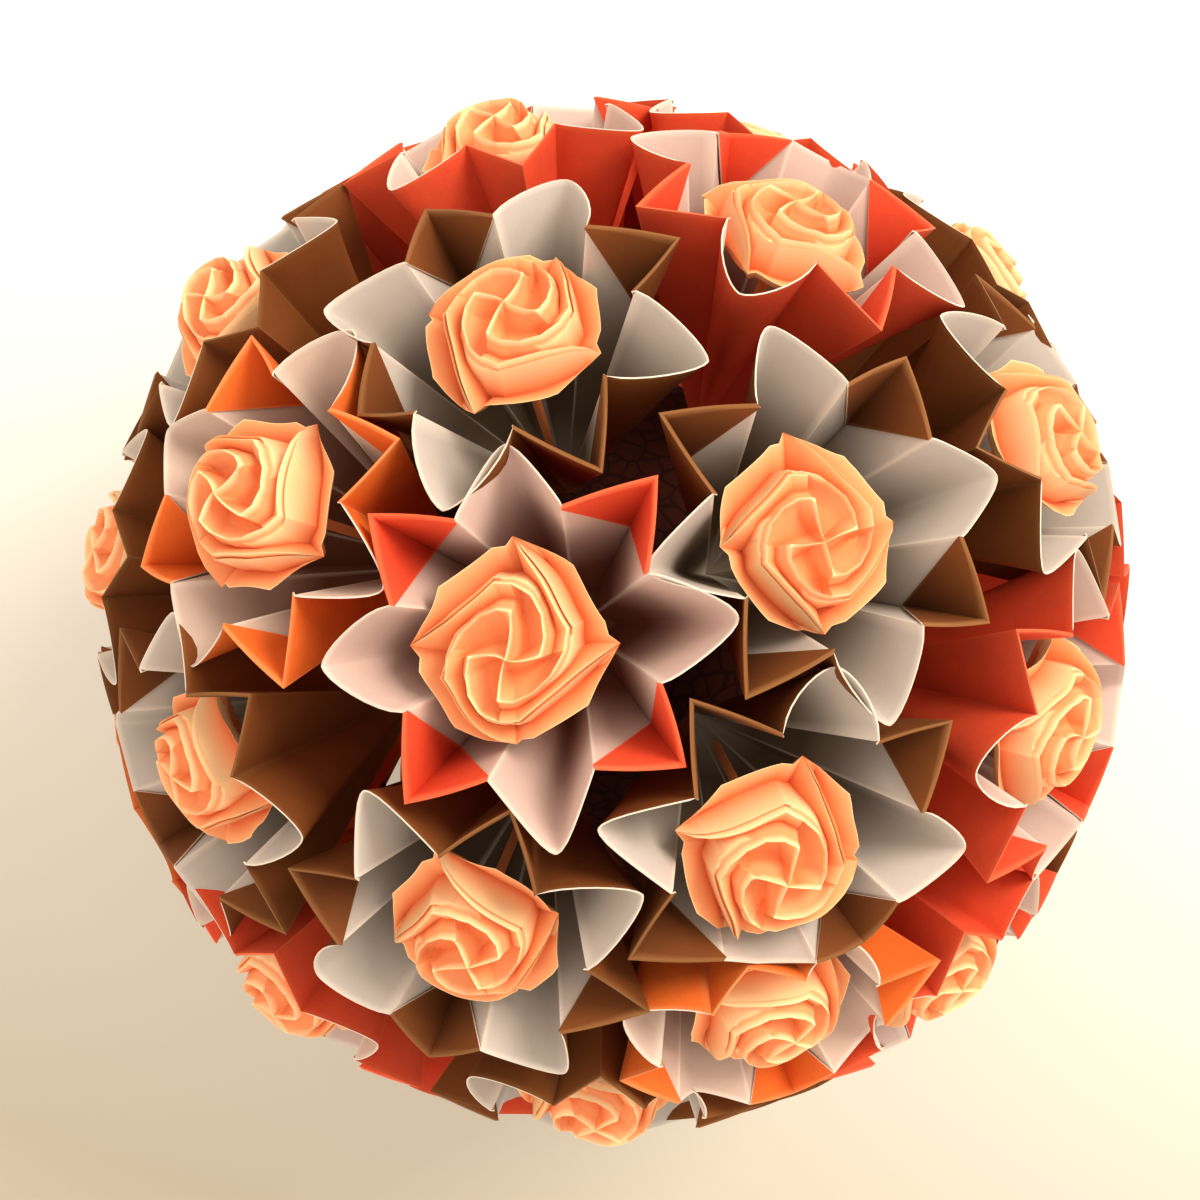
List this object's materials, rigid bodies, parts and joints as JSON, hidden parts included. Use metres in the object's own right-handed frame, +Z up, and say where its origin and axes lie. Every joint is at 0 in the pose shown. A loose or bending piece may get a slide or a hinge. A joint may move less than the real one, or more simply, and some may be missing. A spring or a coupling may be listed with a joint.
{
  "type": "kusudama paper ball",
  "caption": "Kusudama ball of folded paper flowers, each a pointed funnel with a spiral rose in its mouth, glued round a foam ball",
  "frame": {"origin": "centre of the ball's outline, on the surface that it stands on", "axes": "+Z up from the flower that the ball stands on, through the middle of the ball"},
  "size_m": [0.1672, 0.1668, 0.1657],
  "materials": {
    "foam": "matte expanded foam, painted dark",
    "red_paper": "matte, coloured outside, white inside",
    "orange_paper": "matte, coloured outside, white inside",
    "brown_paper": "matte, coloured outside, white inside",
    "rose_paper": "matte peach"
  },
  "bodies": {
    "root": {"foam_core": "foam", "funnel_brown_02": "brown_paper", "funnel_brown_04": "brown_paper", "funnel_brown_05": "brown_paper", "funnel_brown_06": "brown_paper", "funnel_brown_07": "brown_paper", "funnel_brown_09": "brown_paper", "funnel_brown_11": "brown_paper", "funnel_brown_13": "brown_paper", "funnel_brown_15": "brown_paper", "funnel_brown_17": "brown_paper", "funnel_brown_18": "brown_paper", "funnel_brown_20": "brown_paper", "funnel_brown_21": "brown_paper", "funnel_brown_23": "brown_paper", "funnel_brown_25": "brown_paper", "funnel_brown_27": "brown_paper", "funnel_brown_28": "brown_paper", "funnel_brown_30": "brown_paper", "funnel_brown_32": "brown_paper", "funnel_brown_34": "brown_paper", "funnel_brown_35": "brown_paper", "funnel_brown_37": "brown_paper", "funnel_brown_39": "brown_paper", "funnel_brown_41": "brown_paper", "funnel_brown_42": "brown_paper", "funnel_brown_44": "brown_paper", "funnel_brown_46": "brown_paper", "funnel_brown_48": "brown_paper", "funnel_orange_03": "orange_paper", "funnel_orange_22": "orange_paper", "funnel_orange_29": "orange_paper", "funnel_orange_36": "orange_paper", "funnel_orange_43": "orange_paper", "funnel_red_01": "red_paper", "funnel_red_08": "red_paper", "funnel_red_10": "red_paper", "funnel_red_12": "red_paper", "funnel_red_14": "red_paper", "funnel_red_16": "red_paper", "funnel_red_19": "red_paper", "funnel_red_24": "red_paper", "funnel_red_26": "red_paper", "funnel_red_31": "red_paper", "funnel_red_33": "red_paper", "funnel_red_38": "red_paper", "funnel_red_40": "red_paper", "funnel_red_45": "red_paper", "funnel_red_47": "red_paper", "roses_bottom": "rose_paper", "roses_lower": "rose_paper", "roses_lower_side": "rose_paper", "roses_top": "rose_paper", "roses_upper": "rose_paper", "roses_upper_side": "rose_paper"}
  },
  "joints": []
}
